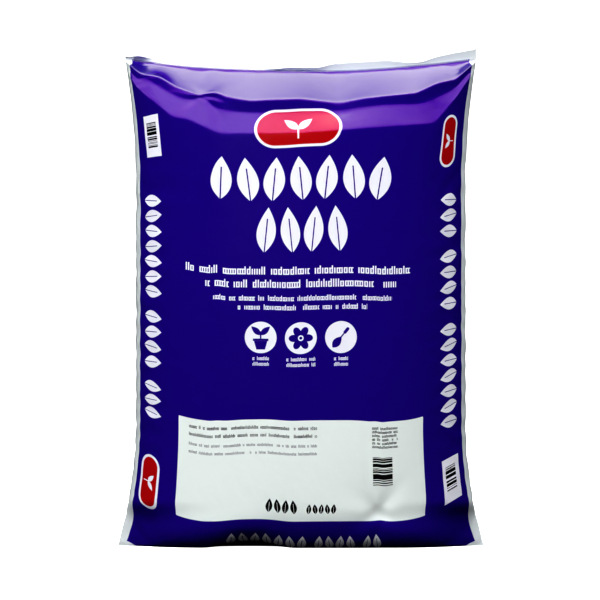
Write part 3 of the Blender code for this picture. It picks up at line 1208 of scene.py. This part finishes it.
SENSOR_WIDTH = 36.0
PICTURE_PIXELS = 600
BAG_MIDDLE_PIXEL = 300.8
CAMERA_HEIGHT = 0.3016
CLIP_END = 50.0

SKY_STRENGTH = 0.03

# Lights that only the film's gloss shows: name, place, target, size, watts, the colours of the two
# long edges, and the share of the light at which the second colour starts to mix in
GLOSS_LIGHTS = (
    ("top_softbox", (0, 0.45, 2.4), (0, 0, 0.5), (5.0, 2.4), 415,
     ((0.022, 0.0, 0.09), (1.00, 0.93, 0.75)), 0.1),
    ("band_softbox", (0, -1.5, 2.1), (0, 0, 0.5), (7.0, 2.0), 200,
     ((0.35, 0.04, 0.62), (0.98, 0.50, 0.94)), 0.0),
)

# Lights that the gloss doesn't show: name, place, target, size and watts
SOFT_LIGHTS = (
    ("key_softbox", (-0.5, -2.2, 2.6), (0, 0, 0.35), (1.2, 1.2), 98),
    ("front_softbox", (-0.6, -3.2, 1.2), (0, 0, 0.3), (0.9, 0.9), 16),
    ("left_softbox", (-1.6, 0.9, 0.6), (0, 0, 0.3), (0.6, 1.4), 6),
    ("right_softbox", (1.6, 0.9, 0.85), (0, 0, 0.35), (0.6, 1.4), 18),
    ("back_softbox", (0.6, 2.6, 2.2), (0, 0, 0.3), (1.2, 1.2), 50),
)


def stage_material(name, colour, glow):
    material = bpy.data.materials.new(name)
    graph = Graph(material)
    inputs = {
        "Base Color": colour,
        "Roughness": STAGE_ROUGHNESS,
        "Specular IOR Level": STAGE_GLOSS,
        "Emission Color": colour,
        "Emission Strength": glow,
    }
    graph.surface(graph.node("ShaderNodeBsdfPrincipled", {}, inputs))
    return material


def make_floor(context):
    """A plain pale floor, and a pale dome that only the camera sees."""
    bpy.ops.mesh.primitive_plane_add(size=FLOOR_SIZE)
    floor = context.active_object
    floor.name = "studio_floor"
    floor.data.materials.append(stage_material("studio_floor", FLOOR_COLOUR, FLOOR_GLOW))
    floor.visible_glossy = False
    floor.visible_diffuse = False
    bpy.ops.mesh.primitive_uv_sphere_add(radius=DOME_RADIUS, segments=48, ring_count=24)
    dome = context.active_object
    dome.name = "studio_dome"
    dome.data.flip_normals()
    dome.data.materials.append(stage_material("studio_dome", DOME_COLOUR, DOME_GLOW))
    for kind in DOME_UNSEEN_BY:
        setattr(dome, f"visible_{kind}", False)


def make_camera(context, studio):
    """A level camera straight in front of the bag."""
    data = bpy.data.cameras.new("camera")
    camera = bpy.data.objects.new("camera", data)
    context.scene.collection.objects.link(camera)
    data.sensor_width = SENSOR_WIDTH
    data.lens = SENSOR_WIDTH * studio.distance / (PICTURE_PIXELS * studio.pixel)
    aside = (PICTURE_PIXELS / 2 - BAG_MIDDLE_PIXEL) * studio.pixel
    camera.location = (aside, -studio.distance, CAMERA_HEIGHT)
    camera.rotation_euler = (math.pi / 2, 0.0, 0.0)
    data.clip_end = CLIP_END
    context.scene.camera = camera


def make_light(context, name, place, target, size, watts):
    """A softbox that faces its target."""
    data = bpy.data.lights.new(name, "AREA")
    data.shape = "RECTANGLE"
    data.size, data.size_y = size
    data.energy = watts
    light = bpy.data.objects.new(name, data)
    context.scene.collection.objects.link(light)
    light.location = place
    light.rotation_euler = (Vector(target) - Vector(place)).to_track_quat("-Z", "Y").to_euler()
    return light


def shade_light(light, colours, start):
    """Shades a softbox from one colour at a long edge to another at the opposite edge."""
    graph = Graph(light.data)
    place = graph.outputs("ShaderNodeNewGeometry", {}, [])[5]
    up = graph.outputs("ShaderNodeSeparateXYZ", {}, [place])[1]
    shade = graph.mix((up - start) / (1 - start), *colours)
    emission = graph.node("ShaderNodeEmission", {}, [shade, 1.0])
    graph.outputs("ShaderNodeOutputLight", {}, [emission])


def make_sky(context):
    """A faint even light from above the floor."""
    world = bpy.data.worlds.new("studio_world")
    context.scene.world = world
    graph = Graph(world)
    place = graph.outputs("ShaderNodeTexCoord", {}, [])[0]
    up = graph.outputs("ShaderNodeSeparateXYZ", {}, [place])[2]
    sky = graph.node("ShaderNodeBackground", {}, [(1.0, 1.0, 1.0), (up > 0.0) * SKY_STRENGTH])
    graph.outputs("ShaderNodeOutputWorld", {}, [sky])
    world.cycles_visibility.glossy = False


def make_lights(context):
    make_sky(context)
    context.scene.view_settings.view_transform = "Standard"
    context.scene.view_settings.look = "High Contrast"
    for *form, colours, start in GLOSS_LIGHTS:
        light = make_light(context, *form)
        light.visible_diffuse = False
        shade_light(light, colours, start)
    for form in SOFT_LIGHTS:
        light = make_light(context, *form)
        light.visible_glossy = False


# Operators


class COMPOST_OT_film(bpy.types.Operator):
    """Make the bag of film"""

    bl_idname = "compost.film"
    bl_label = "Film"

    def execute(self, context):
        mesh = film_mesh(context, context.scene.film_shape)
        bag = bpy.data.objects.new("bag_film", mesh)
        context.scene.collection.objects.link(bag)
        smooth = bag.modifiers.new("smooth", "SUBSURF")
        smooth.levels = 1
        smooth.render_levels = 1
        bag = finished(context, bag)
        paint_film(bag.data, context.scene.film_print)
        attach(bag, "root")
        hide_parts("bag")
        return {"FINISHED"}


class COMPOST_OT_seams(bpy.types.Operator):
    """Make the ribs of the top seal and the lap seam of the back"""

    bl_idname = "compost.seams"
    bl_label = "Seams"

    def execute(self, context):
        scene = context.scene
        white = plain_film("film_bare", scene.film_print.bare)
        ink = plain_film("film_ink", scene.film_print.ink)
        pieces = (
            seal_ribs(context, scene.film_shape, scene.seams, white),
            lap_seam(context, bpy.data.objects["bag_film"], scene.seams, ink),
        )
        for piece in pieces:
            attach(piece, "root")
        return {"FINISHED"}


class COMPOST_OT_stage(bpy.types.Operator):
    """Set the floor, the camera and the lights"""

    bl_idname = "compost.stage"
    bl_label = "Stage"

    def execute(self, context):
        make_floor(context)
        make_camera(context, context.scene.studio)
        make_lights(context)
        return {"FINISHED"}


class COMPOST_PT_panel(bpy.types.Panel):
    """Lists the pieces of the bag and its studio"""

    bl_idname = "COMPOST_PT_panel"
    bl_label = "Compost Bag"
    bl_space_type = "VIEW_3D"
    bl_region_type = "UI"
    bl_category = "Compost Bag"

    def draw(self, context):
        for step in OPERATORS:
            self.layout.operator(step.bl_idname)


SETTINGS = {"film_shape": FilmShape, "seams": Seams, "film_print": FilmPrint, "studio": Studio}
OPERATORS = (COMPOST_OT_film, COMPOST_OT_seams, COMPOST_OT_stage)
CLASSES = (*SETTINGS.values(), *OPERATORS, COMPOST_PT_panel)


def register():
    for cls in CLASSES:
        bpy.utils.register_class(cls)
    for name, group in SETTINGS.items():
        setattr(bpy.types.Scene, name, bpy.props.PointerProperty(type=group))


def unregister():
    for name in SETTINGS:
        delattr(bpy.types.Scene, name)
    for cls in reversed(CLASSES):
        bpy.utils.unregister_class(cls)


def main():
    register()
    bpy.ops.compost.film()
    bpy.ops.compost.seams()
    bpy.ops.compost.stage()


if __name__ == "__main__":
    main()
